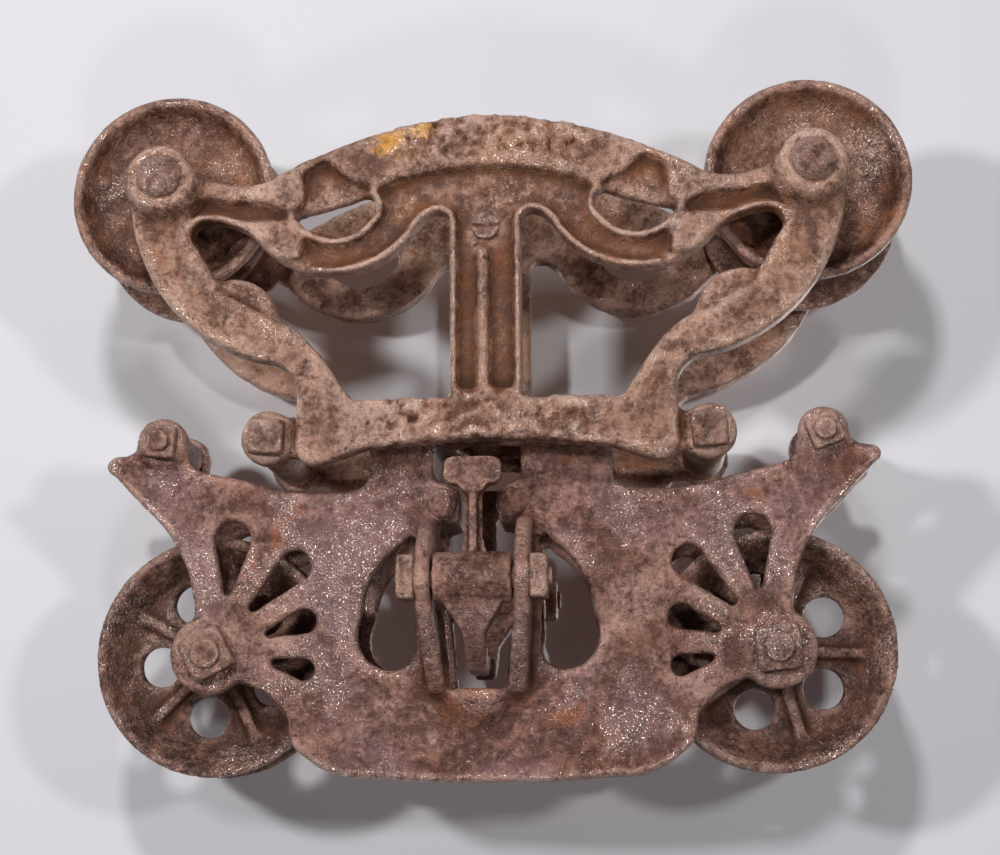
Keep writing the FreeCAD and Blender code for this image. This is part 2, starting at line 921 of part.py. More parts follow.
def dog_nut():
    nut_from = mechanism_x + ear_outer_x
    nut_to = nut_from + dog_nut_height
    hole = rod_x(dog_bolt_radius + fixed_gap, -dog_pivot_y, dog_pivot_z, nut_from, nut_to)
    return dog_fastener(nut_from, nut_to).cut(hole)


save("dog_bolts", group([dog_bolt(), flip_y(dog_bolt())]))
save("dog_nuts", group([dog_nut(), flip_y(dog_nut())]))
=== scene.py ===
import json
import math

import bmesh
import bpy
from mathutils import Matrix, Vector

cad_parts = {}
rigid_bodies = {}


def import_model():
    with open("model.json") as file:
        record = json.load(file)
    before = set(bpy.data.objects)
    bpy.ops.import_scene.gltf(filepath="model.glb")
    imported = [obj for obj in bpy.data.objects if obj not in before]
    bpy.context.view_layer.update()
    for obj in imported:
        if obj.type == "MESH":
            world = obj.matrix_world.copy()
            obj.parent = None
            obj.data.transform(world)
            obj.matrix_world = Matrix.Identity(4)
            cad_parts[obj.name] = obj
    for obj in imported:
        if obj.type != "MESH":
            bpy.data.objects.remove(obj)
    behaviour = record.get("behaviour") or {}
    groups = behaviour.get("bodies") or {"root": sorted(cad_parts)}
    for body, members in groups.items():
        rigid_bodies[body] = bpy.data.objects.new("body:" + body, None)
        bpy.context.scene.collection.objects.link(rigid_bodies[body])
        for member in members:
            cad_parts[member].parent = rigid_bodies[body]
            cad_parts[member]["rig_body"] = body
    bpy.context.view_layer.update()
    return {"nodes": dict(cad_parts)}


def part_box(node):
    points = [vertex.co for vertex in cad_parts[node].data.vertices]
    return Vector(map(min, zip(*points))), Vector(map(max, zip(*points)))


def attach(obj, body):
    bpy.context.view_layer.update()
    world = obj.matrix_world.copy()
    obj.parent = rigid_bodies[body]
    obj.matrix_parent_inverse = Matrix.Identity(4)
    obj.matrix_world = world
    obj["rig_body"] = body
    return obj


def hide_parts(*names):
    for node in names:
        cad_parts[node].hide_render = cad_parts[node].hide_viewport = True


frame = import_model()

# Truck frames: two mirror-image castings of grey iron, each an arch, two S curves and a
# post over a straight bar. Sand left them lumpy and pitted, and years outdoors rusted them
# tan, with pale worn rims, and dark grime and painted shade in the corners.


class Term:
    """One socket of a node. Sums, differences, products and quotients of terms add Math nodes."""

    def __init__(self, nodes, socket):
        self.nodes = nodes
        self.socket = socket

    def output(self, name):
        return self.nodes.term(self.socket.node, name)

    def __add__(self, other):
        return self.nodes.math("ADD", self, other)

    def __sub__(self, other):
        return self.nodes.math("SUBTRACT", self, other)

    def __rsub__(self, other):
        return self.nodes.math("SUBTRACT", other, self)

    def __mul__(self, other):
        return self.nodes.math("MULTIPLY", self, other)

    def __truediv__(self, other):
        return self.nodes.math("DIVIDE", self, other)

    def __rtruediv__(self, other):
        return self.nodes.math("DIVIDE", other, self)

    __radd__ = __add__
    __rmul__ = __mul__


class Nodes:
    """A shader or geometry tree that is written one node at a time."""

    def __init__(self, tree):
        self.tree = tree

    def term(self, made, name):
        if isinstance(name, int):
            return Term(self, made.outputs[name])
        return Term(self, next(s for s in made.outputs if s.name == name and s.enabled))

    def node(self, kind, settings=None, sockets=None):
        made = self.tree.nodes.new(kind)
        for name, value in (settings or {}).items():
            setattr(made, name, value)
        for name, value in (sockets or {}).items():
            if isinstance(name, int):
                target = made.inputs[name]
            else:
                target = next(s for s in made.inputs if s.name == name and s.enabled)
            for item in value if isinstance(value, list) and target.is_multi_input else [value]:
                if isinstance(item, Term):
                    self.tree.links.new(item.socket, target)
                else:
                    target.default_value = item
        shown = [s for s in made.outputs if s.enabled]
        return Term(self, shown[0]) if shown else None

    def math(self, operation, *values):
        return self.node("ShaderNodeMath", {"operation": operation}, dict(enumerate(values)))

    def vector(self, operation, *values):
        return self.node("ShaderNodeVectorMath", {"operation": operation}, dict(enumerate(values)))

    def scaled(self, vector, factor):
        return self.node(
            "ShaderNodeVectorMath", {"operation": "SCALE"}, {"Vector": vector, "Scale": factor}
        )

    def joined(self, x, y, z):
        return self.node("ShaderNodeCombineXYZ", {}, {"X": x, "Y": y, "Z": z})

    def blend(self, factor, first, second):
        return self.node(
            "ShaderNodeMix", {"data_type": "RGBA"}, {"Factor": factor, "A": first, "B": second}
        )

    def step(self, value, low, high):
        return self.node(
            "ShaderNodeMapRange",
            {"interpolation_type": "SMOOTHSTEP"},
            {"Value": value, "From Min": low, "From Max": high},
        )

    def noise(self, place, size, detail=4.0, roughness=0.55, distortion=0.0):
        return self.node(
            "ShaderNodeTexNoise",
            {},
            {
                "Vector": place,
                "Scale": 1.0 / size,
                "Detail": detail,
                "Roughness": roughness,
                "Distortion": distortion,
            },
        )


def shade(text):
    """A colour written as on a paint card, #rrggbb, as linear red, green, blue and 1."""
    parts = [int(text[i : i + 2], 16) / 255 for i in (1, 3, 5)]
    return [c / 12.92 if c < 0.04045 else ((c + 0.055) / 1.055) ** 2.4 for c in parts] + [1.0]


def rusted_iron(name, dark, middle, pale, tint, ochre, gloss, ochre_share=0.03, stains=()):
    """Cast iron with years of rust and oil: blotches and tinted clouds, pale dust on broad
    faces, dark grime with painted shade in pitted spots and corners, ochre stains, and
    polished grains with painted glints in their colour."""
    material = bpy.data.materials.new(name)
    material.use_nodes = True
    material.node_tree.nodes.clear()
    n = Nodes(material.node_tree)
    place = n.node("ShaderNodeTexCoord").output("Object")
    edge = n.node("ShaderNodeAttribute", {"attribute_name": "edge"}).output("Fac")
    cloud = n.noise(place, size=0.060, detail=4.0, roughness=0.6, distortion=0.4)
    beside = n.vector("ADD", place, (0.31, 0.17, 0.23))
    patch = n.noise(beside, size=0.045, detail=5.0, roughness=0.6, distortion=0.4)
    blotch = n.noise(place, size=0.017, detail=8.0, roughness=0.7, distortion=0.5)
    scab = n.noise(place, size=0.0056, detail=6.0, roughness=0.68, distortion=0.4)
    grain = n.noise(place, size=0.0023, detail=3.0, roughness=0.65)
    grit = n.noise(place, size=0.0010, detail=2.0, roughness=0.6)
    streak = n.noise(place, size=0.034, detail=7.0, roughness=0.68, distortion=0.5)
    tone = n.step(blotch * 0.6 + scab * 0.4 + edge * 0.06, 0.43, 0.63)
    tinted = n.step(cloud + scab * 0.15, 0.54, 0.74)
    dust = n.step(patch * 0.5 + scab * 0.25 + grain * 0.25 + edge * 0.06, 0.49, 0.70)
    # Low spots of the grain and scab relief get dark grime and painted shade.
    pit_grime_and_shade = n.step(grain * 0.55 + scab * 0.45, 0.44, 0.35)
    # Hollows, where "edge" is below 0, get painted shade mixed with dark grime, a rougher face and
    # no glints.
    hollow_grime_and_shade = n.step(edge * -0.6 + blotch * 0.3, 0.24, 0.74)
    veil = streak + grain * 0.10
    bled = n.step(edge * -0.4 + veil * 0.6, 0.42, 0.66) * 0.8
    orange = n.math("MAXIMUM", n.step(veil, 0.70 - ochre_share, 0.82 - ochre_share), bled)
    polish = n.step(patch * -0.7 + blotch * 0.3 + cloud * 0.7 + edge * 0.12, 0.12, 0.32)
    # Polished grains get lower roughness and more metal, and their colour is lightened towards
    # near-white as painted glints, more so in polished zones.
    grains_with_painted_glint = n.step(grit + scab * 0.2 + polish * 0.11, 0.70, 0.80) * (1.0 - hollow_grime_and_shade)
    colour = n.blend(tone, dark, middle)
    colour = n.blend(tinted * 0.5, colour, tint)
    colour = n.blend(dust * 0.75, colour, pale)
    colour = n.blend(orange * 0.65, colour, ochre)
    for spot, radius, hue in stains:
        away = n.vector("DISTANCE", place, spot).output("Value") / radius
        spread = n.step(scab * 2.4 + grain * 1.2 - away, 0.9, 1.5)
        colour = n.blend(spread * 0.8, colour, hue)
    # A near-black colour for painted shade with grime in pitted spots and hollows, and a
    # near-white colour for painted glints on polished grains.
    grime_and_shade_colour, painted_glint_colour = shade("#26150f"), shade("#f0ded4")
    colour = n.blend(n.math("MAXIMUM", pit_grime_and_shade * 0.6, hollow_grime_and_shade * 0.85), colour, grime_and_shade_colour)
    colour = n.blend(grains_with_painted_glint * (0.25 + polish * 0.30), colour, painted_glint_colour)
    roughness = 0.46 - grains_with_painted_glint * 0.20 - polish * 0.12 + orange * 0.10 + hollow_grime_and_shade * 0.28
    height = grain * 0.8 + grit * 0.5 + scab * 0.9
    skin_depth = 0.0013
    relief = n.node(
        "ShaderNodeBump", {}, {"Strength": 1.0, "Distance": skin_depth, "Height": height}
    )
    iron = n.node(
        "ShaderNodeBsdfPrincipled",
        {},
        {
            "Base Color": colour,
            "Roughness": roughness,
            "Metallic": (0.3 + grains_with_painted_glint * 0.7) * gloss,
            "Normal": relief,
        },
    )
    n.node("ShaderNodeOutputMaterial", {}, {"Surface": iron})
    return material


def geometry_tree(name, inputs):
    """A new Geometry Nodes tree with named inputs, and a call that gives any of them."""
    tree = bpy.data.node_groups.new(name, "GeometryNodeTree")
    tree.interface.new_socket("Geometry", in_out="INPUT", socket_type="NodeSocketGeometry")
    for label, (kind, value) in inputs.items():
        socket = tree.interface.new_socket(
            label, in_out="INPUT", socket_type="NodeSocket" + kind
        )
        if value is not None:
            socket.default_value = value
    tree.interface.new_socket("Geometry", in_out="OUTPUT", socket_type="NodeSocketGeometry")
    nodes = Nodes(tree)
    entry = nodes.node("NodeGroupInput").socket.node
    return nodes, lambda label: nodes.term(entry, label)


def run_tree(piece, nodes, values):
    """Adds a tree to a piece as a modifier with these values for its named inputs."""
    modifier = piece.modifiers.new(nodes.tree.name, "NODES")
    modifier.node_group = nodes.tree
    for item in nodes.tree.interface.items_tree:
        if item.in_out == "INPUT" and item.name in values:
            modifier[item.identifier] = values[item.name]


def settle(piece):
    """Gives a piece the mesh that its modifiers make, and clears them."""
    graph = bpy.context.evaluated_depsgraph_get()
    mesh = bpy.data.meshes.new_from_object(piece.evaluated_get(graph))
    piece.modifiers.clear()
    piece.data = mesh


# The skin of a casting: rounded corners, which Fullness swells again, a lumpy face, and an
# attribute "edge" in millimetres, above 0 on its edges and below 0 in its hollows. It stays
# in the box from Low to High.
edge_reach = 24
skin, given = geometry_tree(
    "casting_skin",
    {
        "Rounding": ("Int", 8),
        "Fullness": ("Float", 0.0),
        "Lump Size": ("Float", 0.011),
        "Lump Height": ("Float", 0.0003),
        "Pit Size": ("Float", 0.0045),
        "Pit Height": ("Float", 0.0002),
        "Scar Height": ("Float", 0.0),
        "Seed": ("Float", 0.0),
        "Low": ("Vector", (-1.0, -1.0, -1.0)),
        "High": ("Vector", (1.0, 1.0, 1.0)),
        "Finish": ("Material", None),
    },
)
place = skin.node("GeometryNodeInputPosition")
normal = skin.node("GeometryNodeInputNormal")
rounded = skin.node(
    "GeometryNodeBlurAttribute",
    {"data_type": "FLOAT_VECTOR"},
    {"Value": place, "Iterations": given("Rounding")},
)
shape = skin.node(
    "GeometryNodeSetPosition", {}, {"Geometry": given("Geometry"), "Position": rounded}
)
around = skin.node(
    "GeometryNodeBlurAttribute",
    {"data_type": "FLOAT_VECTOR"},
    {"Value": place, "Iterations": edge_reach},
)
stand = skin.node(
    "ShaderNodeVectorMath",
    {"operation": "DOT_PRODUCT"},
    {0: skin.vector("SUBTRACT", place, around), 1: normal},
)
seeded = skin.vector("ADD", place, skin.joined(given("Seed"), 0.0, 0.0))


def swell(nodes, place, size, height, detail):
    """How far noise of this size pushes a point out along its normal."""
    fac = nodes.node(
        "ShaderNodeTexNoise", {}, {"Vector": place, "Scale": 1.0 / size, "Detail": detail}
    )
    return (fac - 0.5) * 2.0 * height


# Coarse scars on the middle of the arch and of the bar, where the mould's sand washed out.
# Each border fades over a few millimetres.
scar_size = 0.0062
scar_half_width, side_fade = 0.052, 0.012
arch_bottom, arch_fade = 0.010, 0.004
bar_top, bar_fade = -0.119, 0.003
apart = skin.node("ShaderNodeSeparateXYZ", {}, {"Vector": place})
height = apart.output("Z")
near_middle = skin.step(
    skin.math("ABSOLUTE", apart), scar_half_width + side_fade, scar_half_width
)
on_arch = skin.step(height, arch_bottom - arch_fade, arch_bottom + arch_fade)
on_bar = skin.step(height, bar_top + bar_fade, bar_top - bar_fade)
scar = swell(skin, seeded, scar_size, given("Scar Height"), 2.5) * near_middle * (on_arch + on_bar)
# The scar's depth goes into "edge" too, so its dips get painted shade with grime like other
# hollows, and its bumps wear pale like edges.
shape = skin.node(
    "GeometryNodeStoreNamedAttribute",
    {"data_type": "FLOAT", "domain": "POINT"},
    {"Geometry": shape, "Name": "edge", "Value": (stand + scar * 1.6) * 1000.0},
)
push = skin.math("MAXIMUM", stand, 0.0) * given("Fullness") + scar
push = push + swell(skin, seeded, given("Lump Size"), given("Lump Height"), 2.0)
push = push + swell(skin, seeded, given("Pit Size"), given("Pit Height"), 3.0)
moved = skin.vector("ADD", place, skin.scaled(normal, push))
moved = skin.vector("MINIMUM", moved, given("High"))
moved = skin.vector("MAXIMUM", moved, given("Low"))
shape = skin.node("GeometryNodeSetPosition", {}, {"Geometry": shape, "Position": moved})
shape = skin.node("GeometryNodeSetShadeSmooth", {}, {"Geometry": shape})
shape = skin.node("GeometryNodeSetMaterial", {}, {"Geometry": shape, "Material": given("Finish")})
skin.node("NodeGroupOutput", {}, {"Geometry": shape})


def linked(name, mesh):
    piece = bpy.data.objects.new(name, mesh)
    bpy.context.scene.collection.objects.link(piece)
    return piece


def finished(piece, nodes, slot, finish, cell=None, **relief):
    """Puts the skin on a piece, over even cells where a cell size is given, and hangs it on
    the body of the CAD nodes that it stands for."""
    if cell:
        cells = piece.modifiers.new("cells", "REMESH")
        cells.mode = "VOXEL"
        cells.voxel_size = cell
    boxes = [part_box(node) for node in nodes]
    values = {
        "Low": [min(low[axis] for low, high in boxes) for axis in range(3)],
        "High": [max(high[axis] for low, high in boxes) for axis in range(3)],
        "Finish": finish,
    }
    values.update({key.replace("_", " ").title(): value for key, value in relief.items()})
    run_tree(piece, skin, values)
    settle(piece)
    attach(piece, frame["nodes"][nodes[0]]["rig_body"])
    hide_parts(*nodes)


def casting(name, node, slot, finish, cell=0.0013, **relief):
    """A CAD node's solid as it left the sand."""
    mesh = frame["nodes"][node].data.copy()
    mesh.materials.clear()
    work = bmesh.new()
    work.from_mesh(mesh)
    bmesh.ops.remove_doubles(work, verts=work.verts, dist=2e-6)
    work.to_mesh(mesh)
    work.free()
    finished(linked(name, mesh), [node], slot, finish, cell, **relief)


truck_iron = rusted_iron(
    "truck_iron",
    dark=shade("#5c3828"),
    middle=shade("#a27762"),
    pale=shade("#d6b2a1"),
    tint=shade("#a87048"),
    ochre=shade("#a85f28"),
    gloss=0.6,
    ochre_share=0.07,
    stains=[
        ((-0.052, -0.062, 0.021), 0.012, shade("#dc9a3a")),
        ((-0.034, -0.062, 0.026), 0.008, shade("#e0a040")),
    ],
)
for side, seed in (("front", 0.7), ("back", 1.9)):
    casting(
        "truck_casting_" + side,
        "truck_frame_" + side,
        "truck_iron",
        truck_iron,
        rounding=18,
        fullness=1.0,
        lump_height=0.0005,
        pit_height=0.0005,
        scar_height=0.0020,
        seed=seed,
    )

# Swivel plate: a plain flat casting between the truck frames, with a ring in its middle and
# an eye at each end. It hangs from the lug bolts.
casting("swivel_casting", "swivel_plate", "truck_iron", truck_iron, seed=0.3)

# Lug bolts: two forged bolts with square heads and square nuts. They tie the truck frames
# together through the eyes of the swivel plate.
lug_seat = (0.118, 0.055, -0.142)
lug_bolt_radius = 0.0065
lug_head = (0.019, 0.008)
lug_thread_end = 0.011
bolt_steel = rusted_iron(
    "bolt_steel",
    dark=shade("#543528"),
    middle=shade("#956c5b"),
    pale=shade("#bf9c8c"),
    tint=shade("#7c5654"),
    ochre=shade("#985a34"),
    gloss=0.6,
)

# A square head or nut with a crowned top at each point, turned by the point's own angle and
# facing along its own direction, with a shank under it or a hole through it.
forging, given = geometry_tree(
    "square_forging",
    {
        "Width": ("Float", 0.02),
        "Height": ("Float", 0.008),
        "Hole Radius": ("Float", 0.0),
        "Shank Radius": ("Float", 0.0),
        "Shank Length": ("Float", 0.01),
        "Finish": ("Material", None),
    },
)
block = forging.node(
    "GeometryNodeMeshCube",
    {},
    {
        "Size": forging.joined(given("Width"), given("Width"), given("Height")),
        "Vertices X": 13,
        "Vertices Y": 13,
        "Vertices Z": 7,
    },
)
place = forging.node("GeometryNodeInputPosition")
apart = forging.node("ShaderNodeSeparateXYZ", {}, {"Vector": place})
radius = forging.vector("LENGTH", forging.joined(apart, apart.output("Y"), 0.0)).output("Value")
crown_share, crown_slope = 0.56, 1.1
below_top = given("Height") * 0.5 - apart.output("Z")
crown = given("Width") * crown_share + below_top * crown_slope
pull = forging.math("MINIMUM", 1.0, crown / (radius + 1e-6))
crowned = forging.joined(apart * pull, apart.output("Y") * pull, apart.output("Z"))
crowned = forging.vector("ADD", crowned, forging.joined(0.0, 0.0, given("Height") * 0.5))
block = forging.node("GeometryNodeSetPosition", {}, {"Geometry": block, "Position": crowned})


def rod_along(nodes, radius, low, high):
    """A closed rod on the Z axis between two heights."""
    rod = nodes.node(
        "GeometryNodeMeshCylinder",
        {},
        {"Vertices": 40, "Radius": radius, "Depth": high - low},
    )
    return nodes.node(
        "GeometryNodeTransform",
        {},
        {"Geometry": rod, "Translation": nodes.joined(0.0, 0.0, (high + low) * 0.5)},
    )


hole = rod_along(forging, given("Hole Radius"), given("Height") * -0.5, given("Height") * 1.5)
bored = forging.node(
    "GeometryNodeMeshBoolean", {"operation": "DIFFERENCE"}, {"Mesh 1": block, "Mesh 2": [hole]}
)
drilled = forging.node(
    "FunctionNodeCompare",
    {"data_type": "FLOAT", "operation": "GREATER_THAN"},
    {"A": given("Hole Radius"), "B": 0.0},
)
block = forging.node(
    "GeometryNodeSwitch",
    {"input_type": "GEOMETRY"},
    {"Switch": drilled, "False": block, "True": bored},
)
weld = 0.0005
shank = rod_along(forging, given("Shank Radius"), given("Shank Length") * -1.0, weld)
shanked = forging.node(
    "FunctionNodeCompare",
    {"data_type": "FLOAT", "operation": "GREATER_THAN"},
    {"A": given("Shank Radius"), "B": 0.0},
)
whole = forging.node("GeometryNodeJoinGeometry", {}, {"Geometry": [block, shank]})
whole = forging.node(
    "GeometryNodeSwitch",
    {"input_type": "GEOMETRY"},
    {"Switch": shanked, "False": block, "True": whole},
)


def facing(nodes):
    """The rotation that each point's own direction and angle give."""
    out = nodes.node(
        "GeometryNodeInputNamedAttribute", {"data_type": "FLOAT_VECTOR"}, {"Name": "out"}
    )
    turn = nodes.node("GeometryNodeInputNamedAttribute", {"data_type": "FLOAT"}, {"Name": "turn"})
    aimed = nodes.node("FunctionNodeAlignRotationToVector", {"axis": "Z"}, {"Vector": out})
    spin = nodes.node(
        "FunctionNodeAxisAngleToRotation", {}, {"Axis": (0.0, 0.0, 1.0), "Angle": turn}
    )
    return nodes.node(
        "FunctionNodeRotateRotation",
        {"rotation_space": "LOCAL"},
        {"Rotation": aimed, "Rotate By": spin},
    )


def placed(nodes, points, item, finish):
    """Puts an item at every point, makes it real, and gives it its material."""
    item = nodes.node(
        "GeometryNodeInstanceOnPoints",
        {},
        {"Points": points, "Instance": item, "Rotation": facing(nodes)},
    )
    item = nodes.node("GeometryNodeRealizeInstances", {}, {"Geometry": item})
    item = nodes.node("GeometryNodeSetMaterial", {}, {"Geometry": item, "Material": finish})
    nodes.node("NodeGroupOutput", {}, {"Geometry": item})


placed(forging, given("Geometry"), whole, given("Finish"))


def seats(name, spots):
    """A mesh of loose points. Each spot is a place, the way it faces and its turn in degrees."""
    mesh = bpy.data.meshes.new(name)
    mesh.from_pydata([spot[0] for spot in spots], [], [])
    outs = [value for _, out, _ in spots for value in out]
    mesh.attributes.new("out", "FLOAT_VECTOR", "POINT").data.foreach_set("vector", outs)
    turns = [math.radians(turn) for _, _, turn in spots]
    mesh.attributes.new("turn", "FLOAT", "POINT").data.foreach_set("value", turns)
    return linked(name, mesh)


def forged(name, node, spots, width, height, cell=0.0008, **sizes):
    """Square heads or nuts at these spots, with worn corners. Each size wears its own way."""
    piece = seats(name, spots)
    values = {"Width": width, "Height": height, "Finish": bolt_steel}
    values.update({key.replace("_", " ").title(): value for key, value in sizes.items()})
    run_tree(piece, forging, values)
    finished(
        piece, [node], "bolt_steel", bolt_steel, cell, rounding=5, lump_size=0.006,
        lump_height=0.0003, pit_size=0.003, pit_height=0.00025, seed=width * 90,
    )


front, back = (0.0, -1.0, 0.0), (0.0, 1.0, 0.0)
lug_x, lug_y, lug_z = lug_seat
forged(
    "lug_bolt_forgings",
    "lug_bolts",
    [((side * lug_x, -lug_y, lug_z), front, side * 4) for side in (-1, 1)],
    *lug_head,
    shank_radius=lug_bolt_radius,
    shank_length=2 * lug_y + lug_thread_end,
)
forged(
    "lug_nut_forgings",
    "lug_nuts",
    [((side * lug_x, lug_y, lug_z), back, side * 20) for side in (-1, 1)],
    *lug_head,
    hole_radius=lug_bolt_radius,
)

# Post screws: a slotted round-head screw in each post with a square nut behind it. It is
# mild steel, rusted in place.
for node in ("post_screws", "post_screw_nuts"):
    casting(
        node + "_forging", node, "bolt_steel", bolt_steel, cell=0.0006, rounding=2,
        lump_height=0.0001, pit_height=0.0001,
    )

# Axles: four stubs riveted through the bosses. Each has a hammered round head outside and an
# upset end over a washer inside.
axle_place = (0.176, 0.0, 0.0)
axle_profile = [
    (0.0, 13.2), (9.0, 13.2), (10.0, 15.2), (8.0, 15.2), (8.0, 72.0), (12.2, 72.0),
    (12.2, 74.5), (9.5, 77.6), (5.5, 78.8), (0.0, 79.0),
]
washer_profile = [(8.02, 15.2), (13.0, 15.2), (13.0, 17.0), (8.02, 17.0)]

# A profile in radius and height is sampled evenly and turned round the Z axis.
turning, given = geometry_tree(
    "turning",
    {
        "Profile": ("Object", None),
        "Corner": ("Float", 0.001),
        "Segments": ("Int", 120),
        "Steps": ("Int", 120),
        "Finish": ("Material", None),
    },
)
line = turning.node("GeometryNodeObjectInfo", {}, {"Object": given("Profile")})
line = turning.node("GeometryNodeMeshToCurve", {}, {"Mesh": line.output("Geometry")})
line = turning.node(
    "GeometryNodeFilletCurve",
    {"mode": "POLY"},
    {"Curve": line, "Radius": given("Corner"), "Limit Radius": True, "Count": 4},
)
sheet = turning.node(
    "GeometryNodeMeshGrid",
    {},
    {"Size X": 1.0, "Size Y": 1.0, "Vertices X": given("Segments"), "Vertices Y": given("Steps")},
)
apart = turning.node(
    "ShaderNodeSeparateXYZ", {}, {"Vector": turning.node("GeometryNodeInputPosition")}
)
sample = turning.node(
    "GeometryNodeSampleCurve",
    {"mode": "FACTOR", "use_all_curves": True},
    {"Curves": line, "Factor": apart.output("Y") + 0.5},
).output("Position")
sample = turning.node("ShaderNodeSeparateXYZ", {}, {"Vector": sample})
angle = apart * math.tau
turned = turning.joined(
    sample * turning.math("COSINE", angle),
    sample * turning.math("SINE", angle),
    sample.output("Z"),
)
sheet = turning.node("GeometryNodeSetPosition", {}, {"Geometry": sheet, "Position": turned})
lathed = turning.node("GeometryNodeMergeByDistance", {}, {"Geometry": sheet, "Distance": 2e-6})
placed(turning, given("Geometry"), lathed, given("Finish"))


def outline_of(name, profile, closed):
    """A profile in millimetres of radius and height, as a line of edges in metres."""
    mesh = bpy.data.meshes.new(name)
    count = len(profile)
    edges = [(i, (i + 1) % count) for i in range(count if closed else count - 1)]
    mesh.from_pydata([(r / 1000, 0.0, h / 1000) for r, h in profile], edges, [])
    return linked(name, mesh)


def outwards(piece):
    """Turns the faces of a closed piece outwards."""
    work = bmesh.new()
    work.from_mesh(piece.data)
    bmesh.ops.recalc_face_normals(work, faces=work.faces)
    work.to_mesh(piece.data)
    work.free()


def lathe(name, nodes, spots, profile, slot, finish, closed=True, steps=120, segments=120,
          corner=0.001, cell=None, **relief):
    """Turned pieces at these spots."""
    piece = seats(name, spots)
    line = outline_of(name + "_profile", profile, closed)
    values = {
        "Profile": line,
        "Steps": steps,
        "Segments": segments,
        "Corner": corner,
        "Finish": finish,
    }
    run_tree(piece, turning, values)
    settle(piece)
    bpy.data.objects.remove(line)
    outwards(piece)
    finished(piece, nodes, slot, finish, cell, **relief)


corners = [(s, c) for s in ("front", "back") for c in ("left", "right")]


def corner_spot(side, hand, turn=0.0):
    """The axle line of one corner of the truck, facing out."""
    x, y, z = axle_place
    return ((x if hand == "right" else -x, y, z), front if side == "front" else back, turn)


lathe(
    "axle_rivets",
    ["axle_%s_%s" % corner for corner in corners],
    [corner_spot(*corner) for corner in corners],
    axle_profile,
    "bolt_steel",
    bolt_steel,
    closed=False,
    segments=64,
    corner=0.0012,
    rounding=2,
    lump_size=0.007,
    lump_height=0.0004,
    seed=2.0,
)
lathe(
    "axle_washer_rings",
    ["axle_washers"],
    [corner_spot(*corner) for corner in corners],
    washer_profile,
    "bolt_steel",
    bolt_steel,
    steps=40,
    segments=64,
    corner=0.0004,
    rounding=1,
    lump_height=0.0001,
    pit_height=0.0001,
)

# Track wheels: four flanged wheels of chilled iron. Each has a thick rolled flange outside, a
# tread inside, a dished web and a plain hub that runs on its axle stub.
wheel_profile = [
    (8.08, 17.4), (15.0, 17.4), (15.0, 25.0), (39.0, 25.0), (39.0, 17.4), (45.0, 17.4),
    (45.0, 26.5), (48.0, 29.0), (57.0, 33.0), (57.0, 36.5), (56.0, 38.6), (54.0, 39.5),
    (51.5, 38.4), (50.0, 36.0), (47.8, 32.8), (45.0, 30.7), (41.0, 29.4), (36.0, 29.0),
    (22.0, 29.0), (18.5, 30.0), (16.2, 32.5), (15.2, 36.0), (15.0, 40.5), (8.08, 40.5),
]
wheel_iron = rusted_iron(
    "wheel_iron",
    dark=shade("#4d2c20"),
    middle=shade("#8f6350"),
    pale=shade("#c19a88"),
    tint=shade("#8a5a3c"),
    ochre=shade("#9c5c2e"),
    gloss=0.6,
    ochre_share=0.06,
)
for index, corner in enumerate(corners):
    lathe(
        "wheel_%s_%s" % corner,
        ["track_wheel_%s_%s" % corner],
        [corner_spot(*corner)],
        wheel_profile,
        "wheel_iron",
        wheel_iron,
        steps=190,
        segments=260,
        corner=0.0012,
        rounding=3,
        lump_height=0.0004,
        pit_height=0.0003,
        seed=0.9 + index,
    )

# Swivel: the spool turns in the ring of the swivel plate, and a collar holds it up. Its two
# cheeks carry the lower frame.
lower_iron = rusted_iron(
    "lower_iron",
    dark=shade("#532f23"),
    middle=shade("#8e6151"),
    pale=shade("#c79e90"),
    tint=shade("#866064"),
    ochre=shade("#9a562c"),
    gloss=0.75,
    ochre_share=0.07,
    stains=[
        ((-0.007, -0.043, -0.276), 0.010, shade("#9c5a32")),
        ((0.170, -0.040, -0.238), 0.010, shade("#b0702f")),
    ],
)
for node in ("swivel_spool", "swivel_collar"):
    casting(node + "_casting", node, "lower_iron", lower_iron, cell=0.001)

# Lower frame: two winged plates, each cast in one with its ears, bosses, beads and lip.
# Coarser sand left a grainy skin; where rubbing has polished it, the grains are smoother
# and carry painted glints.
for side, seed in (("front", 1.3), ("back", 2.6)):
    casting(
        "lower_casting_" + side,
        "lower_frame_" + side,
        "lower_iron",
        lower_iron,
        rounding=16,
        fullness=0.9,
        lump_height=0.0005,
        pit_height=0.0005,
        seed=seed,
    )

# Neck pins: two forged pins with round heads, through both plates and the spool.
neck_profile = [
    (0.0, -39.0), (4.2, -38.5), (7.4, -36.6), (8.5, -33.8), (7.8, -32.6), (5.0, -32.6),
    (5.0, 32.6), (7.8, 32.6), (8.5, 33.8), (7.4, 36.6), (4.2, 38.5), (0.0, 39.0),
]
neck_z = -0.176
neck_left_x, neck_right_x = -0.0255, 0.0115
lathe(
    "neck_pin_forgings",
    ["neck_pins"],
    [((x, 0.0, neck_z), front, 0.0) for x in (neck_left_x, neck_right_x)],
    neck_profile,
    "bolt_steel",
    lower_iron,
    closed=False,
    segments=72,
    corner=0.0015,
    rounding=2,
    lump_size=0.005,
    lump_height=0.0005,
    seed=3.0,
)

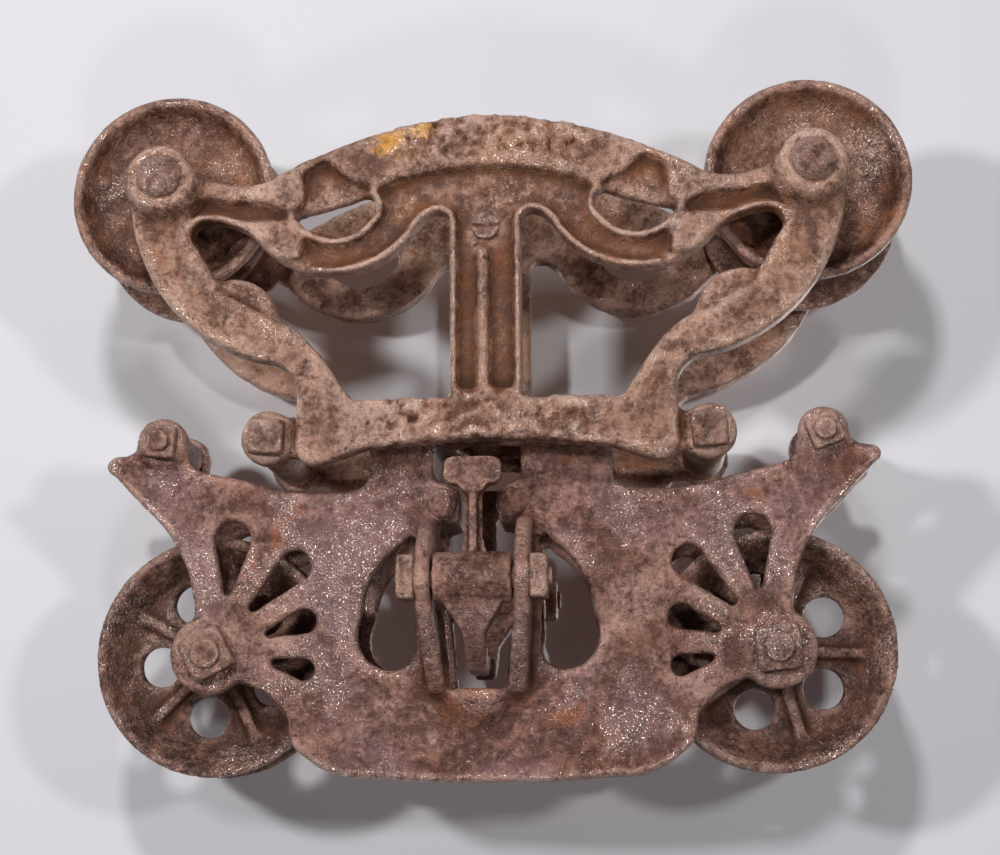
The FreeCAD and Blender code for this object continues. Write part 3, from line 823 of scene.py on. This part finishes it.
# Rope sheaves: two cast wheels with a round rope groove, a thin web with five round holes,
# five ribs on each face and a long hub. Rope and hands wore the dish smoother.
sheave_place = (0.152, 0.0, -0.256)
sheave_turns = {"left": -28.0, "right": 34.0}
groove_middle, groove_radius = 68.15, 15.15
sheave_side = [
    (12.08, -24.0), (17.0, -24.0), (18.2, -14.0), (19.5, -6.0), (22.0, -4.0), (44.0, -4.0),
    (48.0, -5.6), (53.5, -11.0), (58.5, -15.6), (60.8, -17.8), (63.0, -18.5), (65.2, -17.6),
    (66.0, -15.8),
]
groove = [
    (
        groove_middle - groove_radius * math.cos(math.radians(angle)),
        groove_radius * math.sin(math.radians(angle)),
    )
    for angle in range(-80, 81, 16)
]
sheave_profile = sheave_side + groove + [(r, -h) for r, h in reversed(sheave_side)]
sheave_iron = rusted_iron(
    "sheave_iron",
    dark=shade("#3d2218"),
    middle=shade("#794f3f"),
    pale=shade("#ab887a"),
    tint=shade("#714532"),
    ochre=shade("#884c2a"),
    gloss=0.65,
)

# A turned blank gets round holes on a circle, and ribs on both faces between them.
spoking, given = geometry_tree(
    "sheave_spoking",
    {
        "Count": ("Int", 5),
        "Hole Radius": ("Float", 0.011),
        "Hole Circle": ("Float", 0.033),
        "Rib From": ("Float", 0.016),
        "Rib To": ("Float", 0.0515),
        "Rib Height": ("Float", 0.0165),
        "Rib Thickness": ("Float", 0.006),
        "Turn": ("Float", 0.0),
        "Place": ("Vector", (0.0, 0.0, 0.0)),
        "Finish": ("Material", None),
    },
)
ring = spoking.node(
    "GeometryNodeMeshCircle",
    {"fill_type": "NONE"},
    {"Vertices": given("Count"), "Radius": given("Hole Circle")},
)
index = spoking.node("GeometryNodeInputIndex")
pitch = math.tau / given("Count")


def around_hub(item, phase):
    """The item at every point of the hole circle, turned to point away from the hub."""
    spun = spoking.node(
        "FunctionNodeAxisAngleToRotation",
        {},
        {"Axis": (0.0, 0.0, 1.0), "Angle": pitch * index},
    )
    items = spoking.node(
        "GeometryNodeInstanceOnPoints", {}, {"Points": ring, "Instance": item, "Rotation": spun}
    )
    items = spoking.node("GeometryNodeRealizeInstances", {}, {"Geometry": items})
    turn = spoking.node(
        "FunctionNodeAxisAngleToRotation",
        {},
        {"Axis": (0.0, 0.0, 1.0), "Angle": given("Turn") + pitch * phase},
    )
    items = spoking.node("GeometryNodeTransform", {}, {"Geometry": items, "Rotation": turn})
    upright = spoking.node(
        "FunctionNodeAxisAngleToRotation",
        {},
        {"Axis": (1.0, 0.0, 0.0), "Angle": math.pi / 2},
    )
    return spoking.node(
        "GeometryNodeTransform",
        {},
        {"Geometry": items, "Rotation": upright, "Translation": given("Place")},
    )


through_the_web = 0.03
drill = spoking.node(
    "GeometryNodeMeshCylinder",
    {},
    {"Vertices": 48, "Radius": given("Hole Radius"), "Depth": through_the_web},
)
rib = spoking.node(
    "GeometryNodeMeshCube",
    {},
    {
        "Size": spoking.joined(
            given("Rib To") - given("Rib From"), given("Rib Thickness"), given("Rib Height")
        )
    },
)
rib_middle = (given("Rib To") + given("Rib From")) * 0.5 - given("Hole Circle")
rib = spoking.node(
    "GeometryNodeTransform",
    {},
    {"Geometry": rib, "Translation": spoking.joined(rib_middle, 0.0, 0.0)},
)
blank = spoking.node(
    "GeometryNodeMeshBoolean",
    {"operation": "DIFFERENCE"},
    {"Mesh 1": given("Geometry"), "Mesh 2": [around_hub(drill, 0.0)]},
)
sheave = spoking.node(
    "GeometryNodeJoinGeometry", {}, {"Geometry": [blank, around_hub(rib, 0.5)]}
)
sheave = spoking.node(
    "GeometryNodeSetMaterial", {}, {"Geometry": sheave, "Material": given("Finish")}
)
spoking.node("NodeGroupOutput", {}, {"Geometry": sheave})
for side, turn in sheave_turns.items():
    x, y, z = sheave_place
    place = (x if side == "right" else -x, y, z)
    piece = seats("rope_sheave_" + side, [(place, front, 0.0)])
    line = outline_of("sheave_profile", sheave_profile, True)
    values = {
        "Profile": line, "Steps": 150, "Segments": 144, "Corner": 0.001, "Finish": sheave_iron
    }
    run_tree(piece, turning, values)
    settle(piece)
    bpy.data.objects.remove(line)
    outwards(piece)
    run_tree(
        piece, spoking, {"Turn": math.radians(turn), "Place": place, "Finish": sheave_iron}
    )
    finished(
        piece, ["sheave_" + side], "sheave_iron", sheave_iron, 0.0011, rounding=5,
        lump_height=0.0004, pit_height=0.0003, seed=x + turn,
    )

# Sheave bushes: plain steel tubes clamped between the plates. The sheaves turn on them.
bush_profile = [(8.05, -25.0), (12.0, -25.0), (12.0, 25.0), (8.05, 25.0)]
sheave_x, sheave_y, sheave_z = sheave_place
lathe(
    "bush_tubes",
    ["sheave_bushes"],
    [((side * sheave_x, sheave_y, sheave_z), front, 0.0) for side in (-1, 1)],
    bush_profile,
    "bolt_steel",
    bolt_steel,
    segments=72,
    corner=0.0005,
    rounding=0,
    lump_height=0.0,
    pit_height=0.00002,
)

# Sheave bolts: forged bolts with square heads behind and large square nuts in front.
sheave_boss_y = 0.035
sheave_nut = (0.024, 0.0085)
sheave_bolt_radius = 0.008
sheave_thread_end = 0.0025
forged(
    "sheave_bolt_forgings",
    "sheave_bolts",
    [((side * sheave_x, sheave_boss_y, sheave_z), back, side * 12) for side in (-1, 1)],
    *sheave_nut,
    shank_radius=sheave_bolt_radius,
    shank_length=2 * sheave_boss_y + sheave_nut[1] + sheave_thread_end,
)
forged(
    "sheave_nut_forgings",
    "sheave_nuts",
    [
        ((-sheave_x, -sheave_boss_y, sheave_z), front, 28),
        ((sheave_x, -sheave_boss_y, sheave_z), front, 6),
    ],
    *sheave_nut,
    hole_radius=sheave_bolt_radius,
)

# Wing bolts: smaller bolts in the wings. Each carries a spacer tube that keeps the rope in
# its sheave.
wing_x, wing_y, wing_z = 0.180, 0.036, -0.1405
wing_nut = (0.018, 0.0075)
wing_bolt_radius = 0.006
wing_thread_end = 0.003
spacer_profile = [(6.3, -25.0), (10.5, -25.0), (10.5, 25.0), (6.3, 25.0)]
forged(
    "wing_bolt_forgings",
    "wing_bolts",
    [((side * wing_x, wing_y, wing_z), back, side * 30) for side in (-1, 1)],
    *wing_nut,
    shank_radius=wing_bolt_radius,
    shank_length=2 * wing_y + wing_nut[1] + wing_thread_end,
)
forged(
    "wing_nut_forgings",
    "wing_nuts",
    [((-wing_x, -wing_y, wing_z), front, -8), ((wing_x, -wing_y, wing_z), front, 20)],
    *wing_nut,
    hole_radius=wing_bolt_radius,
)
lathe(
    "wing_spacer_tubes",
    ["wing_spacers"],
    [((side * wing_x, 0.0, wing_z), front, 0.0) for side in (-1, 1)],
    spacer_profile,
    "lower_iron",
    lower_iron,
    segments=72,
    corner=0.0008,
    rounding=1,
)

# Grab dogs: two small castings, front and back. Each has a T head on a ribbed stem, a barrel
# that swings on its bolt, and a claw. Handling wore its edges bright.
dog_iron = rusted_iron(
    "dog_iron",
    dark=shade("#4f2f24"),
    middle=shade("#8f6353"),
    pale=shade("#c8a092"),
    tint=shade("#805a58"),
    ochre=shade("#8e5230"),
    gloss=0.75,
    ochre_share=0.04,
)
for side, seed in (("front", 0.2), ("back", 1.1)):
    casting(
        "grab_dog_" + side, "dog_" + side, "dog_iron", dog_iron, cell=0.0008, rounding=8,
        lump_size=0.008, lump_height=0.0004, pit_height=0.0003, seed=seed,
    )

# Dog bolts: each goes through both ears and a dog's barrel, with a square head on the left
# and a square nut on the right.
dog_pivot = (-0.007, 0.066, -0.220)
dog_nut = (0.023, 0.0095)
dog_bolt_radius = 0.0055
dog_thread_end = 0.002
ear_half_span = 0.030
dog_x, dog_y, dog_z = dog_pivot
left, right = (-1.0, 0.0, 0.0), (1.0, 0.0, 0.0)
forged(
    "dog_bolt_forgings",
    "dog_bolts",
    [((dog_x - ear_half_span, side * dog_y, dog_z), left, 0.0) for side in (-1, 1)],
    *dog_nut,
    shank_radius=dog_bolt_radius,
    shank_length=2 * ear_half_span + dog_nut[1] + dog_thread_end,
)
forged(
    "dog_nut_forgings",
    "dog_nuts",
    [((dog_x + ear_half_span, side * dog_y, dog_z), right, 0.0) for side in (-1, 1)],
    *dog_nut,
    hole_radius=dog_bolt_radius,
)

# Stage: a pale wall close behind the trolley stands in for the floor that it lies on. Soft
# lamps stand round the camera and behind the wall, and the room adds a little light. Each
# lamp has its place, its power in watts and its width.
wall_y = 0.082
wall_reach = 1.5
lamps = {
    "lamp_top": ((-0.10, -1.30, 0.66), 9.5, 0.13),
    "lamp_left": ((-0.82, -1.25, 0.10), 10.0, 0.12),
    "lamp_right": ((0.80, -1.30, -0.05), 5.5, 0.12),
    "lamp_low": ((0.10, -1.30, -0.98), 3.0, 0.13),
    "lamp_behind_left": ((-0.80, 1.20, 0.30), 7.0, 0.40),
    "lamp_behind_right": ((0.80, 1.20, -0.30), 6.0, 0.40),
}
middle = Vector((0.0, 0.0, -0.15))
for name, (spot, power, size) in lamps.items():
    lamp = bpy.data.lights.new(name, "AREA")
    lamp.energy = power
    lamp.size = size
    piece = bpy.data.objects.new(name, lamp)
    piece.location = spot
    piece.rotation_euler = (middle - Vector(spot)).to_track_quat("-Z", "Y").to_euler()
    bpy.context.scene.collection.objects.link(piece)

world = bpy.data.worlds.new("room")
bpy.context.scene.world = world
world.use_nodes = True
world.node_tree.nodes.clear()
room = Nodes(world.node_tree)
glow = room.node("ShaderNodeBackground", {}, {"Color": (1.0, 1.0, 1.0, 1.0), "Strength": 0.06})
room.node("ShaderNodeOutputWorld", {}, {"Surface": glow})

wall_paint = bpy.data.materials.new("wall_paint")
wall_paint.use_nodes = True
wall_paint.node_tree.nodes.clear()
wall_nodes = Nodes(wall_paint.node_tree)
paint = wall_nodes.node(
    "ShaderNodeBsdfPrincipled", {}, {"Base Color": shade("#dddce1"), "Roughness": 0.8}
)
# The wall shows only from its front and throws no shadow, so that the trolley can be seen
# and lit from behind.
clear = wall_nodes.node("ShaderNodeBsdfTransparent")
behind = wall_nodes.node("ShaderNodeNewGeometry").output("Backfacing")
shadow = wall_nodes.node("ShaderNodeLightPath").output("Is Shadow Ray")
open_to = wall_nodes.math("MAXIMUM", behind, shadow)
surface = wall_nodes.node("ShaderNodeMixShader", {}, {0: open_to, 1: paint, 2: clear})
wall_nodes.node("ShaderNodeOutputMaterial", {}, {"Surface": surface})
mesh = bpy.data.meshes.new("wall")
signs = ((-1, -1), (1, -1), (1, 1), (-1, 1))
mesh.from_pydata(
    [(x * wall_reach, wall_y, z * wall_reach) for x, z in signs], [], [(0, 1, 2, 3)]
)
mesh.materials.append(wall_paint)
wall = linked("wall", mesh)

# The camera stands a little to the right of the trolley and looks slightly up at it.
camera_place = (0.072095, -1.1, -0.330043)
camera_turn = (100.3423, 0.4355, 3.6400)
lens = bpy.data.cameras.new("camera")
lens.sensor_width = 36.0
lens.lens = 71.973
camera = bpy.data.objects.new("camera", lens)
camera.location = camera_place
camera.rotation_euler = [math.radians(angle) for angle in camera_turn]
bpy.context.scene.collection.objects.link(camera)
bpy.context.scene.camera = camera
bpy.context.scene.view_settings.view_transform = "Standard"
